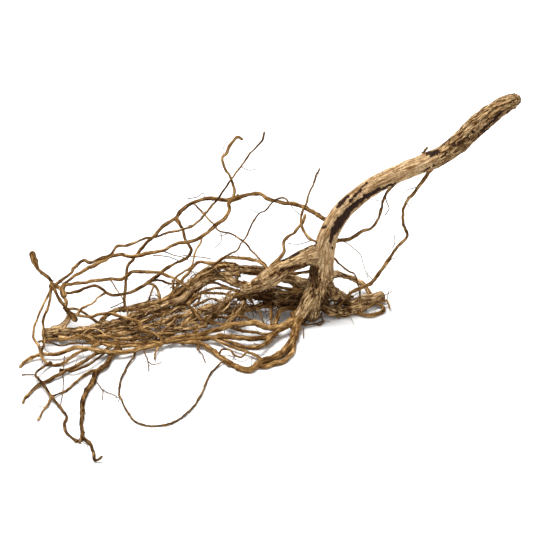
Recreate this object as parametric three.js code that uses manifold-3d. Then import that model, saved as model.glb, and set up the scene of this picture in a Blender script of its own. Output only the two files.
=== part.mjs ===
// A dried melastoma root: a short woody stem on its root crown, with the roots still attached.
// It grew as one piece of wood, so it is one solid. Millimetres, +Z up.
// The origin is the crown's foot, where it stands on the table. +X runs towards the cut end of the stem.
import * as THREE from "three";
import { mergeVertices } from "three/addons/utils/BufferGeometryUtils.js";
import Module from "manifold-3d";

// Driving dimensions
const sizeFactor = 1; // makes the whole root larger or smaller
const boardLean = THREE.MathUtils.degToRad(53.13); // how far the drawing board leans back from upright
const thickRadius = 5; // from this radius at its start, a root is thick
const middleRadius = 2.6; // and from this one it is of middle size
const thickTube = { sides: 8, step: 10 };
const middleTube = { sides: 6, step: 12 };
const thinTube = { sides: 5, step: 14 };
const mergeWithin = 1e-3;
const tableWidth = 900;
const tableDepth = 40;

// The routes are drawn on a board that leans back over the table. Each point is [across, up, height]:
// across and up are measured on the board from the crown's foot, and height is above the table.
// How far back over the table the point lies follows from up and height.
function place([across, up, height]) {
  const back = (up - height * Math.sin(boardLean)) / Math.cos(boardLean);
  return new THREE.Vector3(across, back, height).multiplyScalar(sizeFactor);
}

// Each root is [radii, route]. Its radii are spread evenly along its route, from start to end.
const stem = [
  [11, 10, 9, 8.4, 8, 7.7, 7.4, 7.2, 7.1, 7.2, 7.3, 7.2, 7.3, 7.5, 7.8, 8, 7.6, 6.8, 5.4],
  [
    [5, 22, 24], [7, 32, 35], [8, 42, 48], [10, 55, 64], [12, 65, 76], [17, 75, 87], [25.5, 87, 100],
    [32, 93, 107], [40, 99.5, 114], [50, 106, 121], [60, 111, 126], [75, 118, 133], [90, 124, 139],
    [104, 130.5, 145], [116, 139, 155], [133, 155, 173], [150, 168.5, 188], [158, 172.5, 192],
    [165, 174.5, 194],
  ],
];

// The crown spreads into a foot, a front leg, and flares to the right, the back and the front.
const crown = [
  [[9, 8, 6.5, 5.5], [[5, 26, 30], [2, 13, 16], [0, 5, 7], [-1, -1, -2]]],
  [[6.5, 5.6, 5, 4.4, 3.6], [[2, 22, 27], [-4, 13, 20], [-8, 6, 13], [-11.5, 0, 8], [-13, -7, 3]]],
  [[8, 6.5, 4.6, 3.4], [[9, 27, 30], [15, 21, 19], [22, 17, 11], [30, 12, 3]]],
  [[8, 6.5, 5, 3], [[8, 28, 28], [10, 24, 17], [10, 20, 8], [10, 17, 1]]],
  [[5, 4.6, 4, 3], [[6, 16, 18], [10, 9, 10], [15, 5, 6], [21, 4, 3]]],
];

// The left leader runs from the crown down into the bundle. A pale branch of it goes on over the bundle
// to a broken stub with a short fork, a rough root runs behind it, and a dark fibrous mass hangs under it.
const leaders = [
  [
    [8.5, 7.4, 6.4, 6.4, 7.4, 7.6, 6.4, 5, 4.2],
    [
      [6, 52, 60], [-4, 49, 56], [-13, 45, 51], [-21, 41, 47], [-28, 36, 42], [-35, 31, 36],
      [-43, 27, 31], [-50, 25, 28], [-57, 24, 26],
    ],
  ],
  [
    [4, 3.2, 2.8, 2.8, 2.6, 2.4],
    [
      [-50, 25, 28], [-60, 28, 27], [-75, 33, 27], [-82, 31.5, 26], [-90, 27, 24], [-97, 22.5, 22],
      [-104, 15, 19], [-112, 12, 17], [-122, 9, 15],
    ],
  ],
  [
    [2.6, 2.8, 3.2, 3.2, 3, 3.2, 4, 4.4],
    [
      [-122, 9, 15], [-134, 5, 13], [-146, 0, 12], [-158, -4, 10], [-172, -7, 8], [-186, -10, 7],
      [-202, -11.5, 6], [-215, -13, 5.5],
    ],
  ],
  [[2.6, 2.6, 2.4, 1.8], [[-208, -9, 7], [-200, -7, 9], [-195, -2, 13], [-193, 3, 17]]],
  [
    [5, 4.6, 4, 3.6, 3.4, 3.2],
    [
      [1, 26, 28], [-10, 28, 25], [-19, 32, 27], [-29, 35, 31], [-40, 38, 35], [-50, 39, 35],
      [-60, 39, 34], [-68, 40, 34],
    ],
  ],
  [
    [3, 2.6, 2.2, 2, 1.8],
    [
      [-62, 39.5, 34], [-72, 41.5, 35], [-80, 39, 33], [-88, 35, 30], [-103, 24, 24], [-112, 18, 21],
      [-122, 13, 18], [-133, 11, 16], [-145, 8, 14], [-155, 6.5, 13], [-164, 2, 12], [-170, -5, 9],
    ],
  ],
  [[2.4, 1.8, 2], [[-58, 36, 32], [-70, 35, 30], [-80, 34.5, 28], [-90, 29, 25]]],
  [
    [5.5, 5, 4.6, 4.2, 3.2, 2.4],
    [[0, 18, 20], [-12, 15, 15], [-24, 15, 14], [-36, 17, 15], [-48, 18, 16], [-60, 15, 14]],
  ],
  [[3, 2.4, 2, 1.6], [[-6, 12, 12], [-20, 12, 9], [-33, 11, 9], [-46, 9, 8], [-60, 7, 9], [-72, 5, 9]]],
  [
    [2.2, 1.8, 1.6, 1.4],
    [[-52, 22, 22], [-62, 18, 19], [-70, 10, 14], [-78, 3, 10], [-86, -3, 8], [-94, -12, 6]],
  ],
  [
    [1.6, 2.2, 2.2, 1.6],
    [[-66, 8, 11], [-76, 8.5, 12], [-84, 9, 13], [-91, 6, 11], [-97, 0, 9], [-104, -6, 7]],
  ],
];

// To the right: a broken stub in two steps, the loop beside it, a short root behind the crown,
// and two thin roots that hang from the stem, the outer one as far as the crown's foot.
const rightRoots = [
  [[4.4, 4.2, 4, 3.6], [[16, 6, 4], [26, 5.5, 4], [35, 7.5, 4], [43, 10, 4]]],
  [[3.6, 4.4, 4.4, 4], [[31, 10, 4], [39, 13.5, 4], [48, 15, 4], [57, 18, 4]]],
  [
    [1.7, 1.8, 1.8, 1.7, 1.6],
    [
      [34, 5, 2], [41, 2.5, 1.7], [48, 2.5, 1.7], [55.5, 5.5, 1.7], [57, 9, 2], [51, 11.5, 3],
      [45, 9.5, 4], [38, 6, 4],
    ],
  ],
  [
    [3, 2.6, 2.2, 1.9],
    [[9, 32, 30], [20, 35, 24], [28, 33, 18], [36, 30, 11], [42, 25.5, 7], [47, 18, 3]],
  ],
  [
    [1.5, 1.3, 1.2, 1.3, 1.7, 2],
    [
      [72, 112, 128], [60, 101, 115], [55, 88, 98], [52, 78, 86], [46, 71, 78], [40, 69, 76],
      [34, 65.5, 73], [27, 62.5, 71], [19, 61.5, 70], [12, 60, 69],
    ],
  ],
  [
    [1.7, 1.5, 1.4, 1.4, 1.6, 1.7, 1.5],
    [
      [97, 122, 137], [91, 113, 127], [81, 100, 112], [74, 91, 99], [72, 82, 86], [73, 74, 76],
      [76, 66, 67], [71, 60, 60], [65, 53, 52], [60, 45, 43], [54, 37, 34], [46, 27, 22],
      [38, 24, 17], [32, 21, 14], [26, 14, 9], [20, 9, 6],
    ],
  ],
];

// The long roots that arch high over the bundle and come down at the far left, with their free tips.
const archRoots = [
  [
    [2.1, 2, 1.9, 1.7, 1.8, 1.8, 1.7, 1.5, 1.4, 1.3],
    [
      [15, 77, 88], [10, 79, 89], [0, 85, 86], [-7, 88.5, 84], [-15, 91, 80], [-22, 91.5, 76],
      [-35, 95, 74], [-41, 99, 74], [-46, 99, 72], [-62, 96, 66], [-68, 94, 64], [-82, 96, 60],
      [-90, 94, 58], [-96, 91.5, 57], [-105, 85, 52], [-109, 80, 50], [-115, 76, 47], [-120, 72, 45],
      [-128, 64, 40], [-133, 59.5, 37], [-142, 48, 30], [-147, 42, 26], [-148, 35, 21],
      [-149, 24, 15], [-150, 6, 13],
    ],
  ],
  [
    [1.4, 1.4, 1.5, 1.6, 1.6, 1.5, 1.4, 1.4],
    [
      [-109, 80, 50], [-103, 70, 48], [-101, 62, 46], [-96.5, 55.5, 44], [-97, 51, 42],
      [-105, 45.5, 39], [-113, 41.5, 37], [-121, 36, 35], [-133, 27, 31], [-140, 23, 29],
      [-148, 20, 28], [-157, 18.5, 28], [-164, 20, 29], [-168, 24, 32], [-174, 25.5, 33],
      [-181, 24, 33], [-188, 21, 31], [-200, 20, 29],
    ],
  ],
  [
    [1.9, 1.8, 1.7, 1.6, 1.7, 1.7, 1.6, 1.5, 1.5],
    [
      [-58, 97, 67], [-66, 92, 65], [-66, 87, 64], [-68, 82, 63], [-72, 78, 62], [-82, 70, 59],
      [-88, 65, 57], [-93, 62, 56], [-106, 60, 54], [-119, 54, 51], [-132, 51.5, 48], [-147, 49, 46],
      [-153, 51, 45], [-160, 49.5, 44], [-166, 45.5, 42], [-178, 40, 40], [-190, 33, 38],
      [-199, 25, 34], [-199.5, 19, 29], [-196, 14, 26], [-197, 7, 20],
    ],
  ],
  [
    [1.3, 1.2, 1.3, 1.5, 1.4],
    [
      [-64, 95, 65], [-62, 100, 70], [-64, 110, 80], [-70.5, 122, 91], [-71.5, 128, 98],
      [-68, 131, 101], [-65, 139, 108], [-60, 144.5, 114], [-55, 142, 111],
    ],
  ],
  [
    [1, 0.9, 1, 1.1, 1.1, 1.3, 1.4, 1.4],
    [
      [-38, 149, 120], [-40, 141, 113], [-46, 135.5, 108], [-57, 121, 96], [-72, 100, 80],
      [-86, 82, 68], [-91, 77, 64], [-97, 72.5, 61], [-103, 70.5, 60], [-116, 68, 57],
      [-123, 65.5, 55], [-138, 62, 52], [-147, 58, 50], [-155, 57.5, 49], [-160, 51, 45],
      [-170, 47, 43], [-178, 44, 42], [-182, 46, 43], [-190, 39.5, 40], [-192, 36, 39],
      [-206, 26, 33],
    ],
  ],
  [
    [1.1, 1.2, 1, 0.8],
    [
      [6, 60, 72], [-3, 64, 75], [-9, 76, 85], [-8, 84, 92], [-5, 91, 99], [-2, 100, 107],
      [3, 113, 119], [6.5, 120, 126],
    ],
  ],
  [
    [1.5, 1.4, 1.6, 1.9],
    [
      [-5.5, 83, 86], [-8, 76, 81], [-14, 68.5, 75], [-21, 63.5, 69], [-23, 60, 66], [-22.5, 53, 60],
      [-27, 47, 52], [-33, 41, 44], [-36, 34, 37],
    ],
  ],
  [
    [1.8, 1.5, 1.4, 1.4],
    [
      [-33, 36, 38], [-40, 43.5, 44], [-47, 46.5, 46], [-70, 48, 44], [-77, 44, 41], [-84, 43.5, 40],
      [-91, 45, 40], [-101, 33.5, 32], [-109, 24, 26], [-114, 17, 21],
    ],
  ],
  [
    [1.5, 1.7, 1.6, 1.4],
    [
      [-199, 21, 30], [-197, 26, 34], [-192, 27, 35], [-178, 29, 36], [-165, 31, 36], [-151, 31.5, 36],
      [-143, 37, 38], [-130, 36.5, 37], [-120, 36, 35], [-112, 32.5, 32], [-104, 28, 29],
      [-98, 24, 26],
    ],
  ],
  [
    [1.3, 1.2, 1.2, 1.3],
    [[-131, 28.5, 31.5], [-125, 25.5, 28], [-122.5, 20, 24], [-121.5, 12, 18]],
  ],
  [[1.2, 1.2, 1.2], [[-197, 7, 20], [-188, 7.5, 19], [-181, 4, 16], [-175, -1, 13], [-168, -5, 10]]],
  [
    [1.2, 1.3, 1.5, 1.5, 1.4],
    [
      [-193, 4, 18], [-177, 1, 17], [-170, 3, 17], [-162, 4, 17], [-153, 1.5, 16], [-138, -3.5, 15],
      [-134, -10, 12], [-125, -12, 10], [-119, -17, 7], [-121, -22, 5],
    ],
  ],
];

// At the far left the long roots cross in a knot. One thick-ended root runs through it,
// and two long ones drop from it to the table.
const knotRoots = [
  [
    [2.9, 2.4, 1.6, 1.7, 1.7, 1.5, 1.6, 2.3, 3],
    [
      [-223.5, 53.5, 50], [-222, 48, 46], [-217, 38, 40], [-211, 33, 37], [-207, 27, 33],
      [-204, 20, 29], [-197, 9, 22], [-193, 3.5, 18], [-187.5, -2.5, 14],
    ],
  ],
  [[2.2, 2, 1.8, 1.6], [[-209, 27, 33], [-203, 25, 32], [-199, 22, 31], [-197, 17, 28]]],
  [
    [1.3, 1.1, 1.2, 1.3, 1.6, 1.4],
    [
      [-207, 26, 33], [-210, 19, 28], [-215, 10, 24], [-219, 0, 20], [-222, -14, 13], [-218, -22, 9],
      [-215, -30, 5], [-210, -36, 2], [-200, -36, 2], [-189, -29, 5], [-178, -24, 6], [-166, -19, 6],
    ],
  ],
  [
    [1.3, 1.3],
    [
      [-208, 24, 32], [-209.5, 11, 25], [-213.5, 1, 19], [-214, -9, 13], [-213.5, -18, 9],
      [-216, -28, 5],
    ],
  ],
];

// Along the front of the bundle lie a long pale root and its neighbours, and a large loop on the table.
const frontRoots = [
  [
    [3, 2.6, 2.4, 2.2, 2, 1.8, 2, 1.9, 1.8, 1.6, 1.4],
    [
      [-11, 1, 9], [-24, -6, 9], [-34, -7.5, 9], [-46, -4, 12], [-60, -5, 11], [-76, -9, 8],
      [-92, -14, 5], [-108, -15, 5], [-122, -21, 4], [-135, -24, 4], [-150, -27, 5], [-166, -27, 6],
      [-180, -23.5, 8], [-190, -24, 7], [-202, -28.5, 5], [-218, -29.5, 4], [-228, -34, 2],
      [-233, -39, 0.8],
    ],
  ],
  [
    [2.4, 2.4, 2.2, 1.8, 1.6],
    [
      [-16, -4, 8], [-26, -9, 7], [-33, -14.5, 5.5], [-45, -16, 6], [-75, -14.5, 6], [-90, -16.5, 5],
      [-120, -19.5, 5], [-140, -19.5, 6], [-160, -20, 6], [-176, -19, 7],
    ],
  ],
  [
    [1.9, 1.9, 1.5, 1.3],
    [[-29, -12, 6], [-35, -19, 3], [-43, -23, 2], [-52, -23, 2], [-60, -20.5, 3], [-75, -15, 5]],
  ],
  [[2, 1.7], [[-33, -15, 5.5], [-38, -20.5, 6], [-45, -24.5, 7]]],
  [
    [4, 3.6, 3.2, 3, 2.8, 2.4, 2.2, 2, 1.8],
    [
      [-11, 2, 8], [-13, -8, 5], [-16, -18, 3], [-23, -27, 3], [-33, -32.5, 3], [-42, -35.5, 2.5],
      [-50, -41, 2], [-58, -39.5, 2], [-70, -33, 2.5], [-82, -24, 3], [-90, -20, 4],
      [-104, -18.5, 4],
    ],
  ],
  [
    [1.9, 2, 2.2, 1.8],
    [
      [-14.5, -18, 3], [-15.5, -26, 1.8], [-21, -33, 1.8], [-30, -36, 1.8], [-38, -38.5, 2],
      [-46, -36.5, 2.5],
    ],
  ],
  [
    [1.2, 1.4, 1.3],
    [[-39, -34, 3], [-45, -29.5, 3], [-54, -26, 4], [-62, -23.5, 4], [-70, -20.5, 4], [-79, -16, 5]],
  ],
  [[2.4, 2.2, 2, 1.8], [[-8, 7, 11], [-19, 8, 10], [-25.5, 6, 9], [-28, 1, 8], [-30, -7, 7]]],
];

// Strands packed between the leader's branch and the front roots
const bundleRoots = [
  [
    [2.8, 2.6, 2.4, 2.2, 1.9],
    [
      [-96, 23, 21], [-104, 18, 17], [-114, 11, 14], [-126, 6, 12], [-138, 2, 11], [-150, -2, 10],
      [-164, -5, 9],
    ],
  ],
  [
    [2.2, 2.5, 2.5, 2.2, 1.9, 1.7],
    [
      [-92, 18, 19], [-100, 11, 14], [-112, 6, 11], [-124, 2, 9], [-138, -3, 8], [-152, -7, 7],
      [-168, -11, 6], [-182, -12.5, 5],
    ],
  ],
  [
    [1.8, 2.3, 2.5, 2.1, 1.8],
    [
      [-84, 8.5, 12.5], [-92, 5, 10.5], [-110, 0, 8], [-124, -5, 6], [-138, -9, 5], [-152, -12.5, 5],
      [-168, -15, 4.5], [-184, -15.5, 4.5], [-202, -16, 5],
    ],
  ],
  [
    [1.6, 1.9, 2, 1.7, 1.4],
    [[-84, -6, 8], [-96, -8, 6], [-110, -11, 4.5], [-126, -14, 4], [-142, -16, 4], [-158, -18, 4.5]],
  ],
  [[1.6, 1.5], [[-54, 12, 12], [-60, 4, 10], [-65, -2, 9], [-71, -8, 8]]],
];

// To the front left: a forked root, a wide loop and thin spreading roots, all lying on the table.
const leftRoots = [
  [
    [2.4, 2.8, 2.8, 2.5, 2.3, 2.2, 1.8, 1.6, 1.5, 1.3],
    [
      [-154, -23, 5], [-161, -32, 2.6], [-165, -38, 2.6], [-171, -42, 2.4], [-174, -49, 2.2],
      [-179, -57, 2], [-182, -65, 2], [-182.5, -75, 1.8], [-181.5, -93, 1.6], [-176, -99, 1.5],
      [-173.5, -106, 1.5], [-171.5, -112, 1.6], [-168.5, -111, 3], [-166, -108.5, 5],
    ],
  ],
  [
    [1.5, 1.3, 1.2, 1.2, 1.2, 1.3, 1.2],
    [
      [-140, -22, 4], [-142, -31, 2], [-147.5, -39, 1.2], [-152, -49, 1.2], [-153.5, -58, 1.2],
      [-151, -66, 1.2], [-147, -74, 1.2], [-140, -81.5, 1.2], [-131, -84.5, 1.2], [-118, -84.5, 1.2],
      [-106, -80, 1.2], [-98, -74, 1.2], [-91, -65, 1.2], [-86, -55, 1.2], [-81, -44, 1.2],
      [-76, -38.5, 1.5], [-69, -33, 2.5],
    ],
  ],
  [
    [1.1, 1.6, 1.8, 1.8, 1.6],
    [
      [-230, -67.5, 1], [-228, -63, 1.3], [-222, -57, 1.6], [-215, -51.5, 2], [-206, -47.5, 2.4],
      [-196, -42, 2.6], [-188, -38, 3], [-176, -31, 4], [-164, -25, 5], [-156, -20, 6],
    ],
  ],
  [
    [1.4, 1.1, 1.4, 1.3, 1.4, 1.2],
    [
      [-208, -35.5, 2.5], [-214, -39, 4], [-220, -44.5, 5], [-216, -50, 5], [-211, -56, 4],
      [-207, -62, 3], [-198, -73, 1.5], [-195, -78, 1.2], [-196.5, -84, 1.2], [-195, -90, 1.2],
      [-186.5, -97.5, 1.2],
    ],
  ],
  [
    [1.1, 1.1, 1.2],
    [
      [-207, -62, 3], [-200, -59.5, 1.2], [-195, -57, 1.2], [-187, -50, 1.5], [-176, -42, 2],
      [-170, -41, 2.4],
    ],
  ],
];

const everyRoot = [
  stem, ...crown, ...leaders, ...rightRoots, ...archRoots, ...knotRoots, ...frontRoots, ...bundleRoots,
  ...leftRoots,
];

function tubeFor(radius) {
  if (radius >= thickRadius) return thickTube;
  return radius >= middleRadius ? middleTube : thinTube;
}

function radiusAt(radii, along) {
  const position = along * (radii.length - 1);
  const before = Math.min(Math.floor(position), radii.length - 2);
  return THREE.MathUtils.lerp(radii[before], radii[before + 1], position - before);
}

// A cylinder of unit size, bent along a smooth curve through the route. It keeps its closed ends.
function rootGeometry([radii, route]) {
  const curve = new THREE.CatmullRomCurve3(route.map(place), false, "centripetal");
  const { sides, step } = tubeFor(radii[0]);
  const rings = Math.max(2, Math.round(curve.getLength() / (step * sizeFactor)));
  const frames = curve.computeFrenetFrames(rings, false);
  const geometry = new THREE.CylinderGeometry(1, 1, 1, sides, rings);
  const position = geometry.getAttribute("position");
  const corner = new THREE.Vector3();
  for (let i = 0; i < position.count; i++) {
    corner.fromBufferAttribute(position, i);
    const ring = Math.round((0.5 - corner.y) * rings);
    const radius = radiusAt(radii, ring / rings) * sizeFactor;
    const bent = curve.getPointAt(ring / rings)
      .addScaledVector(frames.normals[ring], corner.x * radius)
      .addScaledVector(frames.binormals[ring], corner.z * radius);
    position.setXYZ(i, bent.x, bent.y, bent.z);
  }
  return geometry;
}

const wasm = await Module();
wasm.setup();

function solidOf(geometry) {
  geometry.deleteAttribute("normal");
  geometry.deleteAttribute("uv");
  const merged = mergeVertices(geometry, mergeWithin);
  return new wasm.Manifold(new wasm.Mesh({
    numProp: 3,
    vertProperties: merged.attributes.position.array,
    triVerts: new Uint32Array(merged.index.array),
  }));
}

function geometryOf(solid) {
  const mesh = solid.getMesh();
  return new THREE.BufferGeometry()
    .setAttribute("position", new THREE.BufferAttribute(mesh.vertProperties, 3))
    .setIndex(new THREE.BufferAttribute(mesh.triVerts, 1));
}

// All the roots grow into one solid, and what would press into the table is flattened against it.
const grown = everyRoot.map((root) => solidOf(rootGeometry(root))).reduce((whole, next) => whole.add(next));
const underTable = new THREE.BoxGeometry(tableWidth, tableWidth, tableDepth);
underTable.translate(0, 0, -tableDepth / 2);
const resting = grown.subtract(solidOf(underTable));

const bark = new THREE.MeshStandardMaterial({ color: 0xa9814f, roughness: 0.85, metalness: 0 });
const melastomaRoot = new THREE.Mesh(geometryOf(resting), bark);
melastomaRoot.name = "melastoma_root";

const group = new THREE.Group();
group.add(melastomaRoot);
export default group;
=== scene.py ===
import math
import random

import bmesh
import bpy
from mathutils import Matrix, Vector, kdtree, noise


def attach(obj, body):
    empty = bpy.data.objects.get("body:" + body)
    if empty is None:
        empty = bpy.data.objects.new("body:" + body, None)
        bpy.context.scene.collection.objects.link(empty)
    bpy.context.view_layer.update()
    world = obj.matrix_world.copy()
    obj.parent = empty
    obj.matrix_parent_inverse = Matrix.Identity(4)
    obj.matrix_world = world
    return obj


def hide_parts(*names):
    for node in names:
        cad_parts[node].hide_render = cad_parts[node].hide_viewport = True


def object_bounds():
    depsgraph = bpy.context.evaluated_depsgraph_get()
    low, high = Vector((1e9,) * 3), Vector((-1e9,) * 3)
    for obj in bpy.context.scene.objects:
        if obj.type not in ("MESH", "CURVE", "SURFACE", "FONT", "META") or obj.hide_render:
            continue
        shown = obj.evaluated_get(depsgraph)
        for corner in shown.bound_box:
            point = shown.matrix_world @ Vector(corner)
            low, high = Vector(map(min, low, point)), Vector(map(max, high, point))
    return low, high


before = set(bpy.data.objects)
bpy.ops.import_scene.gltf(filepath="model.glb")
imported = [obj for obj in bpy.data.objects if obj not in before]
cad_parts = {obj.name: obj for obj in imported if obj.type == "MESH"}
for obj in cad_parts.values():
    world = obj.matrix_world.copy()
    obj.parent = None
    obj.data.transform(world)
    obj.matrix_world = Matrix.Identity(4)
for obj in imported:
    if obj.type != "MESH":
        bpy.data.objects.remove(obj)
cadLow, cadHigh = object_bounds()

print("frame loaded")

mm = 0.001
boardLean = math.radians(53.13)  # the routes are drawn on a board that leans back this far from upright


# a route point is [across, up, height] in mm: across and up on the board, height above the table
def place(point):
    across, up, height = point
    back = (up - height * math.sin(boardLean)) / math.cos(boardLean)
    return Vector((across, back, height))


# each root is [radii, route], its radii spread evenly along the route
stemRoute = [
  [11, 10, 9, 8.4, 8, 7.7, 7.4, 7.2, 7.1, 7.2, 7.3, 7.2, 7.3, 7.5, 7.8, 8, 7.6, 6.8, 5.4],
  [
    [5, 22, 24], [7, 32, 35], [8, 42, 48], [10, 55, 64], [12, 65, 76], [17, 75, 87], [25.5, 87, 100],
    [32, 93, 107], [40, 99.5, 114], [50, 106, 121], [60, 111, 126], [75, 118, 133], [90, 124, 139],
    [104, 130.5, 145], [116, 139, 155], [133, 155, 173], [150, 168.5, 188], [158, 172.5, 192],
    [165, 174.5, 194],
  ],
]

# The crown spreads into a foot, a front leg, and flares to the right, the back and the front.
crownRoutes = [
  [[9, 8, 6.5, 5.5], [[5, 26, 30], [2, 13, 16], [0, 5, 7], [-1, -1, -2]]],
  [[6.5, 5.6, 5, 4.4, 3.6], [[2, 22, 27], [-4, 13, 20], [-8, 6, 13], [-11.5, 0, 8], [-13, -7, 3]]],
  [[8, 6.5, 4.6, 3.4], [[9, 27, 30], [15, 21, 19], [22, 17, 11], [30, 12, 3]]],
  [[8, 6.5, 5, 3], [[8, 28, 28], [10, 24, 17], [10, 20, 8], [10, 17, 1]]],
  [[5, 4.6, 4, 3], [[6, 16, 18], [10, 9, 10], [15, 5, 6], [21, 4, 3]]],
]

# The left leader runs from the crown down into the bundle. A pale branch of it goes on over the bundle
# to a broken stub with a short fork, a rough root runs behind it, and a dark fibrous mass hangs under it.
leaderRoutes = [
  [
    [8.5, 7.4, 6.4, 6.4, 7.4, 7.6, 6.4, 5, 4.2],
    [
      [6, 52, 60], [-4, 49, 56], [-13, 45, 51], [-21, 41, 47], [-28, 36, 42], [-35, 31, 36],
      [-43, 27, 31], [-50, 25, 28], [-57, 24, 26],
    ],
  ],
  [
    [4, 3.2, 2.8, 2.8, 2.6, 2.4],
    [
      [-50, 25, 28], [-60, 28, 27], [-75, 33, 27], [-82, 31.5, 26], [-90, 27, 24], [-97, 22.5, 22],
      [-104, 15, 19], [-112, 12, 17], [-122, 9, 15],
    ],
  ],
  [
    [2.6, 2.8, 3.2, 3.2, 3, 3.2, 4, 4.4],
    [
      [-122, 9, 15], [-134, 5, 13], [-146, 0, 12], [-158, -4, 10], [-172, -7, 8], [-186, -10, 7],
      [-202, -11.5, 6], [-215, -13, 5.5],
    ],
  ],
  [[2.6, 2.6, 2.4, 1.8], [[-208, -9, 7], [-200, -7, 9], [-195, -2, 13], [-193, 3, 17]]],
  [
    [5, 4.6, 4, 3.6, 3.4, 3.2],
    [
      [1, 26, 28], [-10, 28, 25], [-19, 32, 27], [-29, 35, 31], [-40, 38, 35], [-50, 39, 35],
      [-60, 39, 34], [-68, 40, 34],
    ],
  ],
  [
    [3, 2.6, 2.2, 2, 1.8],
    [
      [-62, 39.5, 34], [-72, 41.5, 35], [-80, 39, 33], [-88, 35, 30], [-103, 24, 24], [-112, 18, 21],
      [-122, 13, 18], [-133, 11, 16], [-145, 8, 14], [-155, 6.5, 13], [-164, 2, 12], [-170, -5, 9],
    ],
  ],
  [[2.4, 1.8, 2], [[-58, 36, 32], [-70, 35, 30], [-80, 34.5, 28], [-90, 29, 25]]],
  [
    [5.5, 5, 4.6, 4.2, 3.2, 2.4],
    [[0, 18, 20], [-12, 15, 15], [-24, 15, 14], [-36, 17, 15], [-48, 18, 16], [-60, 15, 14]],
  ],
  [[3, 2.4, 2, 1.6], [[-6, 12, 12], [-20, 12, 9], [-33, 11, 9], [-46, 9, 8], [-60, 7, 9], [-72, 5, 9]]],
  [
    [2.2, 1.8, 1.6, 1.4],
    [[-52, 22, 22], [-62, 18, 19], [-70, 10, 14], [-78, 3, 10], [-86, -3, 8], [-94, -12, 6]],
  ],
  [
    [1.6, 2.2, 2.2, 1.6],
    [[-66, 8, 11], [-76, 8.5, 12], [-84, 9, 13], [-91, 6, 11], [-97, 0, 9], [-104, -6, 7]],
  ],
]

# To the right: a broken stub in two steps, the loop beside it, a short root behind the crown,
# and two thin roots that hang from the stem, the outer one as far as the crown's foot.
rightRoutes = [
  [[4.4, 4.2, 4, 3.6], [[16, 6, 4], [26, 5.5, 4], [35, 7.5, 4], [43, 10, 4]]],
  [[3.6, 4.4, 4.4, 4], [[31, 10, 4], [39, 13.5, 4], [48, 15, 4], [57, 18, 4]]],
  [
    [1.7, 1.8, 1.8, 1.7, 1.6],
    [
      [34, 5, 2], [41, 2.5, 1.7], [48, 2.5, 1.7], [55.5, 5.5, 1.7], [57, 9, 2], [51, 11.5, 3],
      [45, 9.5, 4], [38, 6, 4],
    ],
  ],
  [
    [3, 2.6, 2.2, 1.9],
    [[9, 32, 30], [20, 35, 24], [28, 33, 18], [36, 30, 11], [42, 25.5, 7], [47, 18, 3]],
  ],
  [
    [1.5, 1.3, 1.2, 1.3, 1.7, 2],
    [
      [72, 112, 128], [60, 101, 115], [55, 88, 98], [52, 78, 86], [46, 71, 78], [40, 69, 76],
      [34, 65.5, 73], [27, 62.5, 71], [19, 61.5, 70], [12, 60, 69],
    ],
  ],
  [
    [1.7, 1.5, 1.4, 1.4, 1.6, 1.7, 1.5],
    [
      [97, 122, 137], [91, 113, 127], [81, 100, 112], [74, 91, 99], [72, 82, 86], [73, 74, 76],
      [76, 66, 67], [71, 60, 60], [65, 53, 52], [60, 45, 43], [54, 37, 34], [46, 27, 22],
      [38, 24, 17], [32, 21, 14], [26, 14, 9], [20, 9, 6],
    ],
  ],
]

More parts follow.
